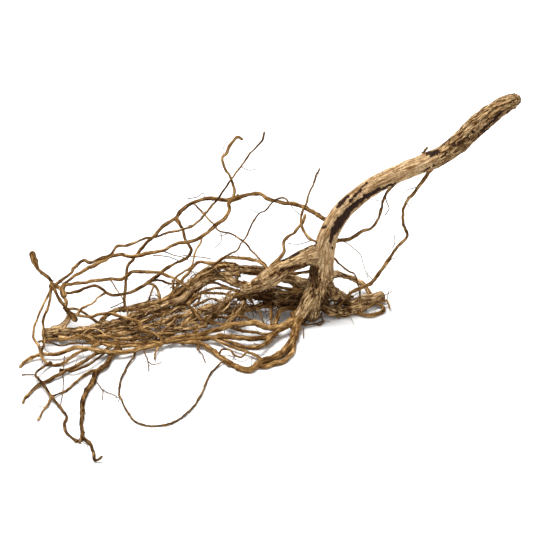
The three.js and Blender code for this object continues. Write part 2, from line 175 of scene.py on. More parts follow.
# The long roots that arch high over the bundle and come down at the far left, with their free tips.
archRoutes = [
  [
    [2.1, 2, 1.9, 1.7, 1.8, 1.8, 1.7, 1.5, 1.4, 1.3],
    [
      [15, 77, 88], [10, 79, 89], [0, 85, 86], [-7, 88.5, 84], [-15, 91, 80], [-22, 91.5, 76],
      [-35, 95, 74], [-41, 99, 74], [-46, 99, 72], [-62, 96, 66], [-68, 94, 64], [-82, 96, 60],
      [-90, 94, 58], [-96, 91.5, 57], [-105, 85, 52], [-109, 80, 50], [-115, 76, 47], [-120, 72, 45],
      [-128, 64, 40], [-133, 59.5, 37], [-142, 48, 30], [-147, 42, 26], [-148, 35, 21],
      [-149, 24, 15], [-150, 6, 13],
    ],
  ],
  [
    [1.4, 1.4, 1.5, 1.6, 1.6, 1.5, 1.4, 1.4],
    [
      [-109, 80, 50], [-103, 70, 48], [-101, 62, 46], [-96.5, 55.5, 44], [-97, 51, 42],
      [-105, 45.5, 39], [-113, 41.5, 37], [-121, 36, 35], [-133, 27, 31], [-140, 23, 29],
      [-148, 20, 28], [-157, 18.5, 28], [-164, 20, 29], [-168, 24, 32], [-174, 25.5, 33],
      [-181, 24, 33], [-188, 21, 31], [-200, 20, 29],
    ],
  ],
  [
    [1.9, 1.8, 1.7, 1.6, 1.7, 1.7, 1.6, 1.5, 1.5],
    [
      [-58, 97, 67], [-66, 92, 65], [-66, 87, 64], [-68, 82, 63], [-72, 78, 62], [-82, 70, 59],
      [-88, 65, 57], [-93, 62, 56], [-106, 60, 54], [-119, 54, 51], [-132, 51.5, 48], [-147, 49, 46],
      [-153, 51, 45], [-160, 49.5, 44], [-166, 45.5, 42], [-178, 40, 40], [-190, 33, 38],
      [-199, 25, 34], [-199.5, 19, 29], [-196, 14, 26], [-197, 7, 20],
    ],
  ],
  [
    [1.3, 1.2, 1.3, 1.5, 1.4],
    [
      [-64, 95, 65], [-62, 100, 70], [-64, 110, 80], [-70.5, 122, 91], [-71.5, 128, 98],
      [-68, 131, 101], [-65, 139, 108], [-60, 144.5, 114], [-55, 142, 111],
    ],
  ],
  [
    [1, 0.9, 1, 1.1, 1.1, 1.3, 1.4, 1.4],
    [
      [-38, 149, 120], [-40, 141, 113], [-46, 135.5, 108], [-57, 121, 96], [-72, 100, 80],
      [-86, 82, 68], [-91, 77, 64], [-97, 72.5, 61], [-103, 70.5, 60], [-116, 68, 57],
      [-123, 65.5, 55], [-138, 62, 52], [-147, 58, 50], [-155, 57.5, 49], [-160, 51, 45],
      [-170, 47, 43], [-178, 44, 42], [-182, 46, 43], [-190, 39.5, 40], [-192, 36, 39],
      [-206, 26, 33],
    ],
  ],
  [
    [1.1, 1.2, 1, 0.8],
    [
      [6, 60, 72], [-3, 64, 75], [-9, 76, 85], [-8, 84, 92], [-5, 91, 99], [-2, 100, 107],
      [3, 113, 119], [6.5, 120, 126],
    ],
  ],
  [
    [1.5, 1.4, 1.6, 1.9],
    [
      [-5.5, 83, 86], [-8, 76, 81], [-14, 68.5, 75], [-21, 63.5, 69], [-23, 60, 66], [-22.5, 53, 60],
      [-27, 47, 52], [-33, 41, 44], [-36, 34, 37],
    ],
  ],
  [
    [1.8, 1.5, 1.4, 1.4],
    [
      [-33, 36, 38], [-40, 43.5, 44], [-47, 46.5, 46], [-70, 48, 44], [-77, 44, 41], [-84, 43.5, 40],
      [-91, 45, 40], [-101, 33.5, 32], [-109, 24, 26], [-114, 17, 21],
    ],
  ],
  [
    [1.5, 1.7, 1.6, 1.4],
    [
      [-199, 21, 30], [-197, 26, 34], [-192, 27, 35], [-178, 29, 36], [-165, 31, 36], [-151, 31.5, 36],
      [-143, 37, 38], [-130, 36.5, 37], [-120, 36, 35], [-112, 32.5, 32], [-104, 28, 29],
      [-98, 24, 26],
    ],
  ],
  [
    [1.3, 1.2, 1.2, 1.3],
    [[-131, 28.5, 31.5], [-125, 25.5, 28], [-122.5, 20, 24], [-121.5, 12, 18]],
  ],
  [[1.2, 1.2, 1.2], [[-197, 7, 20], [-188, 7.5, 19], [-181, 4, 16], [-175, -1, 13], [-168, -5, 10]]],
  [
    [1.2, 1.3, 1.5, 1.5, 1.4],
    [
      [-193, 4, 18], [-177, 1, 17], [-170, 3, 17], [-162, 4, 17], [-153, 1.5, 16], [-138, -3.5, 15],
      [-134, -10, 12], [-125, -12, 10], [-119, -17, 7], [-121, -22, 5],
    ],
  ],
]

# At the far left the long roots cross in a knot. One thick-ended root runs through it,
# and two long ones drop from it to the table.
knotRoutes = [
  [
    [2.9, 2.4, 1.6, 1.7, 1.7, 1.5, 1.6, 2.3, 3],
    [
      [-223.5, 53.5, 50], [-222, 48, 46], [-217, 38, 40], [-211, 33, 37], [-207, 27, 33],
      [-204, 20, 29], [-197, 9, 22], [-193, 3.5, 18], [-187.5, -2.5, 14],
    ],
  ],
  [[2.2, 2, 1.8, 1.6], [[-209, 27, 33], [-203, 25, 32], [-199, 22, 31], [-197, 17, 28]]],
  [
    [1.3, 1.1, 1.2, 1.3, 1.6, 1.4],
    [
      [-207, 26, 33], [-210, 19, 28], [-215, 10, 24], [-219, 0, 20], [-222, -14, 13], [-218, -22, 9],
      [-215, -30, 5], [-210, -36, 2], [-200, -36, 2], [-189, -29, 5], [-178, -24, 6], [-166, -19, 6],
    ],
  ],
  [
    [1.3, 1.3],
    [
      [-208, 24, 32], [-209.5, 11, 25], [-213.5, 1, 19], [-214, -9, 13], [-213.5, -18, 9],
      [-216, -28, 5],
    ],
  ],
]

# Along the front of the bundle lie a long pale root and its neighbours, and a large loop on the table.
frontRoutes = [
  [
    [3, 2.6, 2.4, 2.2, 2, 1.8, 2, 1.9, 1.8, 1.6, 1.4],
    [
      [-11, 1, 9], [-24, -6, 9], [-34, -7.5, 9], [-46, -4, 12], [-60, -5, 11], [-76, -9, 8],
      [-92, -14, 5], [-108, -15, 5], [-122, -21, 4], [-135, -24, 4], [-150, -27, 5], [-166, -27, 6],
      [-180, -23.5, 8], [-190, -24, 7], [-202, -28.5, 5], [-218, -29.5, 4], [-228, -34, 2],
      [-233, -39, 0.8],
    ],
  ],
  [
    [2.4, 2.4, 2.2, 1.8, 1.6],
    [
      [-16, -4, 8], [-26, -9, 7], [-33, -14.5, 5.5], [-45, -16, 6], [-75, -14.5, 6], [-90, -16.5, 5],
      [-120, -19.5, 5], [-140, -19.5, 6], [-160, -20, 6], [-176, -19, 7],
    ],
  ],
  [
    [1.9, 1.9, 1.5, 1.3],
    [[-29, -12, 6], [-35, -19, 3], [-43, -23, 2], [-52, -23, 2], [-60, -20.5, 3], [-75, -15, 5]],
  ],
  [[2, 1.7], [[-33, -15, 5.5], [-38, -20.5, 6], [-45, -24.5, 7]]],
  [
    [4, 3.6, 3.2, 3, 2.8, 2.4, 2.2, 2, 1.8],
    [
      [-11, 2, 8], [-13, -8, 5], [-16, -18, 3], [-23, -27, 3], [-33, -32.5, 3], [-42, -35.5, 2.5],
      [-50, -41, 2], [-58, -39.5, 2], [-70, -33, 2.5], [-82, -24, 3], [-90, -20, 4],
      [-104, -18.5, 4],
    ],
  ],
  [
    [1.9, 2, 2.2, 1.8],
    [
      [-14.5, -18, 3], [-15.5, -26, 1.8], [-21, -33, 1.8], [-30, -36, 1.8], [-38, -38.5, 2],
      [-46, -36.5, 2.5],
    ],
  ],
  [
    [1.2, 1.4, 1.3],
    [[-39, -34, 3], [-45, -29.5, 3], [-54, -26, 4], [-62, -23.5, 4], [-70, -20.5, 4], [-79, -16, 5]],
  ],
  [[2.4, 2.2, 2, 1.8], [[-8, 7, 11], [-19, 8, 10], [-25.5, 6, 9], [-28, 1, 8], [-30, -7, 7]]],
]

# Strands packed between the leader's branch and the front roots
bundleRoutes = [
  [
    [2.8, 2.6, 2.4, 2.2, 1.9],
    [
      [-96, 23, 21], [-104, 18, 17], [-114, 11, 14], [-126, 6, 12], [-138, 2, 11], [-150, -2, 10],
      [-164, -5, 9],
    ],
  ],
  [
    [2.2, 2.5, 2.5, 2.2, 1.9, 1.7],
    [
      [-92, 18, 19], [-100, 11, 14], [-112, 6, 11], [-124, 2, 9], [-138, -3, 8], [-152, -7, 7],
      [-168, -11, 6], [-182, -12.5, 5],
    ],
  ],
  [
    [1.8, 2.3, 2.5, 2.1, 1.8],
    [
      [-84, 8.5, 12.5], [-92, 5, 10.5], [-110, 0, 8], [-124, -5, 6], [-138, -9, 5], [-152, -12.5, 5],
      [-168, -15, 4.5], [-184, -15.5, 4.5], [-202, -16, 5],
    ],
  ],
  [
    [1.6, 1.9, 2, 1.7, 1.4],
    [[-84, -6, 8], [-96, -8, 6], [-110, -11, 4.5], [-126, -14, 4], [-142, -16, 4], [-158, -18, 4.5]],
  ],
  [[1.6, 1.5], [[-54, 12, 12], [-60, 4, 10], [-65, -2, 9], [-71, -8, 8]]],
]

# To the front left: a forked root, a wide loop and thin spreading roots, all lying on the table.
leftRoutes = [
  [
    [2.4, 2.8, 2.8, 2.5, 2.3, 2.2, 1.8, 1.6, 1.5, 1.3],
    [
      [-154, -23, 5], [-161, -32, 2.6], [-165, -38, 2.6], [-171, -42, 2.4], [-174, -49, 2.2],
      [-179, -57, 2], [-182, -65, 2], [-182.5, -75, 1.8], [-181.5, -93, 1.6], [-176, -99, 1.5],
      [-173.5, -106, 1.5], [-171.5, -112, 1.6], [-168.5, -111, 3], [-166, -108.5, 5],
    ],
  ],
  [
    [1.5, 1.3, 1.2, 1.2, 1.2, 1.3, 1.2],
    [
      [-140, -22, 4], [-142, -31, 2], [-147.5, -39, 1.2], [-152, -49, 1.2], [-153.5, -58, 1.2],
      [-151, -66, 1.2], [-147, -74, 1.2], [-140, -81.5, 1.2], [-131, -84.5, 1.2], [-118, -84.5, 1.2],
      [-106, -80, 1.2], [-98, -74, 1.2], [-91, -65, 1.2], [-86, -55, 1.2], [-81, -44, 1.2],
      [-76, -38.5, 1.5], [-69, -33, 2.5],
    ],
  ],
  [
    [1.1, 1.6, 1.8, 1.8, 1.6],
    [
      [-230, -67.5, 1], [-228, -63, 1.3], [-222, -57, 1.6], [-215, -51.5, 2], [-206, -47.5, 2.4],
      [-196, -42, 2.6], [-188, -38, 3], [-176, -31, 4], [-164, -25, 5], [-156, -20, 6],
    ],
  ],
  [
    [1.4, 1.1, 1.4, 1.3, 1.4, 1.2],
    [
      [-208, -35.5, 2.5], [-214, -39, 4], [-220, -44.5, 5], [-216, -50, 5], [-211, -56, 4],
      [-207, -62, 3], [-198, -73, 1.5], [-195, -78, 1.2], [-196.5, -84, 1.2], [-195, -90, 1.2],
      [-186.5, -97.5, 1.2],
    ],
  ],
  [
    [1.1, 1.1, 1.2],
    [
      [-207, -62, 3], [-200, -59.5, 1.2], [-195, -57, 1.2], [-187, -50, 1.5], [-176, -42, 2],
      [-170, -41, 2.4],
    ],
  ],
]

# roots too thin to carry anything
thinRoutes = [
    [[0.9, 0.8, 0.9], [
        [-95, 92, 57], [-90, 87, 56], [-84, 80, 54], [-78, 74, 53], [-74, 70, 52], [-68, 68, 51],
        [-62, 66, 50], [-57, 62.5, 49], [-51, 58, 48], [-49, 54, 47], [-45, 50, 46], [-41, 46.5, 44],
        [-35, 39, 40]]],
    [[0.9, 0.7, 0.8, 0.9], [
        [-18, 91, 78], [-21, 95, 79], [-24, 96, 80], [-30, 94, 76], [-36, 87, 71], [-38, 85, 70],
        [-42, 84, 69], [-46, 79, 66], [-50, 70, 60], [-53, 64, 57], [-57, 59, 54], [-60, 54.5, 51],
        [-65, 51.5, 49], [-72, 47, 45], [-76, 44, 42], [-80, 40, 38]]],
    [[1.1, 1, 1], [[-131, 29, 32], [-126, 30, 31], [-120, 30, 30], [-115, 28, 29], [-105, 27.5, 27]]],
    [[0.9, 0.8], [[-126, 26, 29], [-128, 21, 25], [-130, 15, 20], [-130, 8, 15]]],
    [[1, 0.9], [[-111, 30, 29], [-111, 24, 26], [-111, 17, 20]]],
    [[1, 0.9, 0.9], [
        [-88, 65, 57], [-89, 60, 55], [-92, 55, 53], [-94, 50, 50], [-95, 44, 46], [-98, 40, 43],
        [-103, 36.5, 39], [-107, 34.5, 37], [-110, 30, 33], [-111, 25, 28]]],
    [[1, 1, 1.1], [
        [-165, 20, 29], [-170, 17, 27], [-174, 13, 25], [-179, 9.5, 23], [-184, 7, 21], [-188, 2, 17]]],
    [[0.7, 0.6, 0.6], [
        [-161, 31, 36], [-157, 25, 31], [-152, 18, 26], [-149, 12, 21], [-147, 5, 16], [-146, -2, 12]]],
    [[1.4, 1.1, 1.1], [[-154, 6.5, 16], [-148, 6.5, 16], [-140, 7, 16], [-132, 9, 16], [-125, 12, 16]]],
    [[1, 0.9, 0.8], [[52, 15.5, 7], [57, 13, 5], [60, 14, 5], [62, 7, 2]]],
    [[1.1, 0.9, 0.8, 0.8], [
        [14, 50, 56], [17, 48, 52], [23, 42, 44], [30, 37, 36], [34, 35, 32], [36, 29, 24],
        [38, 20, 12], [38, 14, 7]]],
    [[1.4, 1.3, 1.2], [[0, 38, 43], [-10, 36, 38], [-18, 36, 34], [-32, 39, 34]]],
    [[1.8, 1.5, 1.4], [[-36, 33, 32], [-45, 35.5, 32], [-52, 36, 32], [-60, 42, 36], [-70, 44, 37], [-80, 41, 34]]],
    [[1, 0.9, 0.9], [
        [-74, -28, 3.5], [-72, -25, 5], [-66, -25, 5], [-62, -29, 4], [-57, -31, 4], [-52, -27, 5],
        [-45, -30, 4], [-41, -34, 3]]],
    [[1.4, 1.3, 1.2], [[-68, -6, 9], [-55, -10, 8], [-45, -11.5, 7], [-37, -13, 6], [-31, -12, 6]]],
    [[1.3, 1.2, 1.2], [[-62, 3, 11], [-52, 0, 11], [-42, -4, 10], [-32, -7, 8.5]]],
    [[1.2, 1.1], [[-74, -8, 9], [-65, -3, 10], [-61, 2, 12], [-56, 6, 12]]],
    [[1.3, 1.3], [[-60, 8, 10], [-50, 7, 10], [-42, 8, 9.5], [-34, 11, 10]]],
    [[0.8, 0.7], [[-50, 17, 15], [-46, 10, 13], [-42, 4, 11], [-38, -5, 9]]],
    [[1.3, 1.2, 1.2], [[-92, 20, 19], [-80, 20, 18], [-72, 20, 18], [-65, 18, 17], [-56, 16, 16]]],
    [[1.1, 1], [[-94, 10, 14], [-85, 14, 15], [-80, 16, 16], [-75, 14, 15], [-69, 11, 13.5], [-60, 12, 13]]],
    [[0.9, 0.9], [[-89, 20, 19], [-90, 15, 17], [-94, 9, 13]]],
    [[1.4, 1.2, 1.2], [
        [-112, 13, 16], [-100, 10.5, 15], [-94, 6, 13], [-90, 0, 11], [-80, -3, 10], [-66, -6, 10]]],
    [[1.3, 1.4, 1.2], [
        [-110, -17, 5], [-118, -19, 5], [-130, -21, 5], [-142, -22, 5], [-155, -22.5, 5.5],
        [-165, -21, 6], [-175, -17, 6], [-188, -13, 7]]],
    [[1.2, 1.4, 1.2, 1], [
        [-110, -12, 6], [-122, -13, 6], [-135, -15, 5], [-148, -17, 5], [-160, -16, 6], [-172, -14, 6],
        [-185, -15, 6], [-200, -17, 5], [-210, -17, 5], [-219, -19, 5]]],
    [[0.8, 0.7], [
        [-215, -19, 6], [-207, -20, 6], [-199, -22, 6], [-192, -20, 6], [-180, -20, 6], [-170, -17, 6]]],
    [[1.5, 1.4, 1.3], [[-34, 12, 13], [-33, 3, 12], [-32, -6, 9.5]]],
    [[1.1, 1.2, 1.1], [
        [-201, -41, 3.5], [-190, -41.5, 4], [-183, -39, 4], [-176, -36, 4], [-170, -31, 5], [-162, -26, 5]]],
    [[0.9, 1, 1.1], [
        [-218, -81, 1.2], [-214, -74, 1.4], [-210, -68, 1.8], [-207, -62, 3]]],
    [[1, 0.9], [[-121, -20, 4], [-125, -28, 3], [-125.5, -33, 2.5]]],
    [[1.1, 0.9], [[-90, -18, 4], [-91, -25, 3]]],
    [[1.3, 0.9], [[-182, -90, 1.8], [-184.5, -98, 1.4]]],
    [[1.4, 1.2, 1], [[87, 127, 139], [88.5, 132, 145], [91.5, 136, 149]]],
    [[1.2, 1.1, 1], [[-58, 20, 20], [-70, 26, 23], [-82, 28, 22], [-94, 20, 19], [-104, 12, 14], [-116, 4, 10]]],
    [[1.4, 1.2, 1.1], [[-48, 14, 14], [-60, 22, 21], [-74, 24, 21], [-86, 22, 20], [-98, 14, 16], [-110, 6, 12]]],
    [[1.2, 1.1, 1], [[-40, 12, 12], [-54, 5, 10], [-66, 1, 10], [-80, 1, 9], [-94, -2, 8], [-108, -6, 6]]],
    [[1.8, 1.9, 1.6, 1.3], [[2, 22, 26], [-10, 20.5, 20], [-22, 21, 18], [-34, 23, 19], [-46, 23, 20], [-56, 21, 19]]],
    [[1.4, 1.4, 1.2], [[0, 25, 28], [-9, 23, 23], [-20, 24, 21], [-31, 26, 24], [-40, 28, 27]]],
    [[1, 0.9, 0.8], [[-12, 30, 28], [-16, 23, 21], [-22, 17, 15], [-24, 10, 10]]],
    [[0.9, 0.9, 0.8], [[-30, 35, 34], [-30, 26, 24], [-34, 20, 18], [-36, 14, 12]]],
]

# short crooked roots in the crook between the crown's foot and the broken stub
crookRoutes = [
    [[1.3, 1.3, 1.1, 1], [[8, 22, 16], [17, 17, 11], [25, 12, 7], [33, 11, 7]]],
    [[1.1, 1.1, 0.9], [[11, 13, 9], [19, 15, 9.5], [26, 18.5, 11], [33, 16.5, 8]]],
    [[1, 0.9, 0.7], [[13, 20, 16], [18, 12, 8], [16, 5, 4], [21, 0.5, 2]]],
    [[0.9, 0.8, 0.7], [[24, 20, 13], [21, 12, 7.5], [26, 6, 5], [24, 1, 2]]],
    [[0.8, 0.7, 0.6], [[12, 8, 6], [7, 3, 4], [9, -3, 2], [5, -6, 1]]],
    [[0.8, 0.7, 0.6], [[4, 8, 7], [-2, 2, 5], [-6, -1, 3], [-5, -6, 1]]],
]

# hair-like rootlets that can be told apart
hairRoutes = [
    [[0.4, 0.3], [[20, 64, 74], [30, 58, 68], [37, 52, 60], [42, 40, 45], [45, 30, 33]]],
    [[0.45, 0.3], [[-100, 95, 59], [-92, 97, 60], [-87, 100, 62], [-86, 97, 61]]],
    [[0.4, 0.3], [[0, 62, 73], [-10, 59, 68], [-20, 60, 66]]],
    [[0.4, 0.3], [[-73, 68, 55], [-72, 62, 52], [-78, 55, 47]]],
    [[0.4, 0.25], [[-71, 131, 100], [-71, 136, 104], [-67, 142, 109]]],
    [[0.5, 0.35], [[-197, -30, 4], [-198, -42, 3], [-198, -55, 2], [-200, -70, 1]]],
    [[0.5, 0.35], [[-171, -51, 2], [-165, -57, 1.5], [-155, -62, 1]]],
    [[0.4, 0.3], [[-166, -56, 1.5], [-167, -65, 1]]],
    [[0.6, 0.4], [[-134, -26, 4], [-131, -33, 3], [-130, -42, 1]]],
    [[0.5, 0.4], [[-131, -34, 3], [-127, -37, 2], [-120, -35, 1]]],
    [[0.6, 0.5], [[-91, -25, 3], [-87, -30, 2.5], [-85, -35, 2]]],
    [[0.5, 0.4], [[-7, -8, 4], [-7, -16, 1]]],
    [[0.8, 0.5], [[-8, -5, 4], [0, -5, 2], [10, -2, 1.5]]],
    [[0.4, 0.3], [[64, 56, 56], [66, 60, 60], [65, 68, 66]]],
    [[0.6, 0.5], [[-231, -45, 1], [-222, -44.5, 2], [-215, -50, 2.4]]],
    [[0.5, 0.4], [[-161, 8, 15], [-150, 13, 18]]],
    [[0.5, 0.4], [[-118, 53, 50], [-105, 49, 46], [-98, 46, 44]]],
    [[0.5, 0.4], [[-127, 50, 48], [-114, 49, 46], [-107, 46, 42]]],
    [[0.5, 0.4], [[-103, 50, 46], [-92, 49, 44], [-80, 47, 42]]],
    [[0.4, 0.3], [[57, 18, 8], [62, 20, 9], [64, 22, 9]]],
    [[0.5, 0.4], [[60, 101, 114], [58, 95, 108], [61, 88, 100], [58, 82, 93]]],
    [[0.4, 0.3], [[-9, 82, 90], [-14, 86, 92], [-17, 90, 96]]],
    [[0.4, 0.3], [[-57, 121, 96], [-50, 118, 95], [-44, 119, 97]]],
]


def smoothLine(route):
    # a centripetal spline through the places, with a mirrored place before the first and after the last
    spots = [place(point) for point in route]
    spots = [spots[0] * 2 - spots[1]] + spots + [spots[-1] * 2 - spots[-2]]
    line = []
    for a, b, c, d in zip(spots, spots[1:], spots[2:], spots[3:]):
        t1 = math.sqrt((b - a).length)
        t2 = t1 + math.sqrt((c - b).length)
        t3 = t2 + math.sqrt((d - c).length)
        pieces = max(4, int((c - b).length / 1.5))
        for i in range(pieces):
            t = t1 + (t2 - t1) * i / pieces
            ab = a.lerp(b, t / t1)
            bc = b.lerp(c, (t - t1) / (t2 - t1))
            cd = c.lerp(d, (t - t2) / (t3 - t2))
            line.append(ab.lerp(bc, t / t2).lerp(bc.lerp(cd, (t - t1) / (t3 - t1)), (t - t1) / (t2 - t1)))
    line.append(spots[-2])
    return line


def stationsOf(route, radii, step):
    # evenly spaced (centre, radius, distance along) for a root
    line = smoothLine(route)
    reach = [0]
    for a, b in zip(line, line[1:]):
        reach.append(reach[-1] + (b - a).length)
    count = max(3, round(reach[-1] / step))
    stations = []
    i = 0
    for n in range(count + 1):
        along = reach[-1] * n / count
        while i < len(line) - 2 and reach[i + 1] < along:
            i += 1
        part = (along - reach[i]) / max(reach[i + 1] - reach[i], 1e-6)
        position = n / count * (len(radii) - 1)
        low = min(int(position), len(radii) - 2)
        radius = radii[low] + (radii[low + 1] - radii[low]) * (position - low)
        stations.append([line[i].lerp(line[i + 1], part), radius, along])
    return stations


def roughen(stations, seed, bend, swell):
    # small kinks and swellings, none at the two ends where the root joins another
    total = stations[-1][2]
    for station in stations:
        centre, radius, along = station
        ease = min(1, along / 8, (total - along) / 8)
        spot = Vector((along / 9, seed * 3.7, 0.5))
        kink = noise.noise_vector(spot) * bend + noise.noise_vector(spot * 2.7) * bend * 0.5
        station[0] = centre + kink * ease
        lump = noise.noise(Vector((along / 6, seed * 5.1, 9.2))) * swell
        lump += max(0, noise.noise(Vector((along / 4, seed * 2.3, 4.4))) - 0.25) * swell * 2.2
        station[1] = radius * (1 + lump)


def newMesh():
    bm = bmesh.new()
    bm.verts.layers.float_vector.new("grain")
    for name in ("tone", "ageAndShade", "flake"):
        bm.verts.layers.float.new(name)
    return bm


def growTube(stations, sides, seed):
    # a capped ring is drawn out from station to station, so the root is one closed tube
    bm = newMesh()
    grain = bm.verts.layers.float_vector["grain"]
    tone = bm.verts.layers.float["tone"]
    shade = noise.cell(Vector((seed * 1.3 + 0.5, 7.1, 2.9)))
    side = (stations[1][0] - stations[0][0]).orthogonal()
    cap = None
    for n, (centre, radius, along) in enumerate(stations):
        heading = (stations[min(n + 1, len(stations) - 1)][0] - stations[max(n - 1, 0)][0]).normalized()
        side = (side - heading * side.dot(heading)).normalized()
        turn = Matrix((side, heading.cross(side), heading)).transposed().to_4x4()
        grow = Matrix.Translation(centre) @ turn @ Matrix.Diagonal((radius, radius, radius, 1))
        if cap is None:
            start = bmesh.ops.create_circle(bm, cap_ends=True, segments=sides, radius=1, matrix=grow)["verts"]
            cap = start[0].link_faces[0]
        else:
            cap = bmesh.ops.extrude_discrete_faces(bm, faces=[cap])["faces"][0]
            bmesh.ops.transform(bm, matrix=grow @ last.inverted(), verts=cap.verts[:])
        for i, vert in enumerate(cap.verts):
            angle = math.tau * i / sides
            vert[grain] = (math.cos(angle) * radius + seed * 31, math.sin(angle) * radius, along)
            vert[tone] = shade
        last = grow
    bmesh.ops.contextual_create(bm, geom=start)
    bmesh.ops.recalc_face_normals(bm, faces=bm.faces)
    mesh = bpy.data.meshes.new("tube")
    bm.to_mesh(mesh)
    bm.free()
    return mesh


def makeObject(name, bm, material):
    bmesh.ops.transform(bm, matrix=Matrix.Scale(mm, 4), verts=bm.verts)
    for face in bm.faces:
        face.smooth = True
    mesh = bpy.data.meshes.new(name)
    bm.to_mesh(mesh)
    bm.free()
    piece = bpy.data.objects.new(name, mesh)
    bpy.context.scene.collection.objects.link(piece)
    mesh.materials.append(material)
    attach(piece, "root")
    print(name, len(mesh.polygons), "faces")
    return piece


def gatherTubes(bm, tubes):
    for tube in tubes:
        bm.from_mesh(tube)
        bpy.data.meshes.remove(tube)


# stem, crown and the thick roots beside it: fused into one skin, then given bark
body = {
    "voxel": 0.75,  # mm
    "smoothing": 3,
    "grainDepth": 0.42,
    "fissureDepth": 1,
    "fissuresFrom": 92,  # across, where the stem's bark begins
    "crownRough": 1.3,
    "flakeDepth": 0.5,
}
bodyRoutes = [stemRoute] + crownRoutes + leaderRoutes[:5] + leaderRoutes[7:9] + rightRoutes[:2] + rightRoutes[3:4]
# how aged the bark of each of them is: 0 smooth and pale, 0.5 fissured, 1 dark and crumbling
bodyAges = [0.1, 0.6, 0.38, 0.55, 0.62, 0.62, 0.3, 0.36, 0.5, 0.4, 0.55, 0.95, 0.95, 0.5, 0.36, 0.42]

# flaked patches on the stem, as strokes of [across, up, half width], on the front and on the back
frontFlakes = [
    [[14.5, 61, 1.2], [16, 66, 2], [19, 72, 3.2], [23.5, 79, 3.4], [30, 86.5, 2.4], [36, 92, 2], [41, 95.7, 2],
     [48, 99.5, 1.8], [54, 102.4, 1.5], [60, 105, 1.1], [66, 107, 0.8]],
    [[19.5, 88, 0.9], [23, 92, 1.7], [28, 97, 1.1]],
    [[30.5, 93, 0.8], [33, 97, 1.2], [36, 99, 1.4], [38.5, 102.5, 1.1]],
    [[39, 104.5, 0.6], [43, 107.5, 0.7]],
    [[91, 131, 1.6], [95, 131, 2.3], [100, 133, 1.4]],
    [[103, 127, 0.6], [106, 131, 0.8]],
    [[87, 117, 0.5], [97, 121, 0.7]],
    [[141, 154, 0.8], [146, 159, 1.8], [150, 163, 1]],
    [[7, 72, 0.8], [10, 73, 1.2]],
    [[2, 58, 0.6], [3, 60, 0.7]],
    [[16, 55, 0.6], [17, 56, 0.5]],
    [[112, 137, 0.4], [119, 141, 0.9], [128, 148, 0.5]],
    [[131, 146, 0.5], [138, 152, 0.8], [143, 155, 0.4]],
    [[-25, 46, 0.6], [-14, 51, 1.1], [-4, 56, 0.5]],
]
backFlakes = [
    [[8, 50, 1], [10, 60, 2.4], [14, 72, 2.8], [18, 80, 1.4]],
    [[30, 96, 1], [42, 104, 2.6], [54, 110, 2.2], [66, 117, 1]],
    [[80, 120, 0.8], [94, 126, 2.2], [104, 132, 1.2]],
    [[124, 145, 0.8], [134, 156, 2], [146, 166, 1]],
    [[0, 20, 1], [8, 30, 2.4], [10, 38, 1]],
]


# painted shade in the crown's forks, drawn the same way
forkShadeStrokes = [
    [[-12, 40, 3], [-5, 41, 4], [1, 38, 5], [3, 28, 4], [0, 18, 2]],
    [[14, 32, 2], [13, 22, 3], [11, 14, 5], [8, 5, 4]],
    [[22, 14, 3], [27, 9, 3], [30, 6, 3]],
    [[-34, 34, 2], [-24, 38, 3], [-14, 40, 3]],
    [[-60, 30, 2], [-50, 26, 3], [-40, 28, 2]],
]


def strokeDepth(strokes, across, up):
    # mm inside the nearest stroke's outline, negative outside it
    best = -4
    for stroke in strokes:
        for (ax, ay, aw), (bx, by, bw) in zip(stroke, stroke[1:]):
            dx, dy = bx - ax, by - ay
            t = max(0, min(1, ((across - ax) * dx + (up - ay) * dy) / (dx * dx + dy * dy)))
            away = math.hypot(across - ax - dx * t, up - ay - dy * t)
            best = max(best, aw + (bw - aw) * t - away)
    return best


def roundOff(stations):
    # the stem's broken top is worn round
    total = stations[-1][2]
    for station in stations:
        away = (total - station[2]) / (station[1] * 1.3)
        if away < 1:
            station[1] *= math.sqrt(max(0.3, 1 - (1 - away) ** 2))


def fuseBody():
    bm = newMesh()
    lines = []
    for n, (radii, route) in enumerate(bodyRoutes):
        stations = stationsOf(route, radii, 3 if n else 1.5)
        roughen(stations, n, 0.5 if n else 0.15, 0.12 if n else 0.03)
        if n == 0:
            roundOff(stations)
        gatherTubes(bm, [growTube(stations, 20, n)])
        fine = stationsOf(route, radii, 1.5)
        lines.append(fine)
    mesh = bpy.data.meshes.new("body")
    bm.to_mesh(mesh)
    bm.free()
    mold = bpy.data.objects.new("body", mesh)
    bpy.context.scene.collection.objects.link(mold)
    remesh = mold.modifiers.new("fuse", "REMESH")
    remesh.mode = "VOXEL"
    remesh.voxel_size = body["voxel"]
    smooth = mold.modifiers.new("ease", "SMOOTH")
    smooth.iterations = body["smoothing"]
    fused = bpy.data.meshes.new_from_object(mold.evaluated_get(bpy.context.evaluated_depsgraph_get()))
    bpy.data.objects.remove(mold)
    return fused, lines


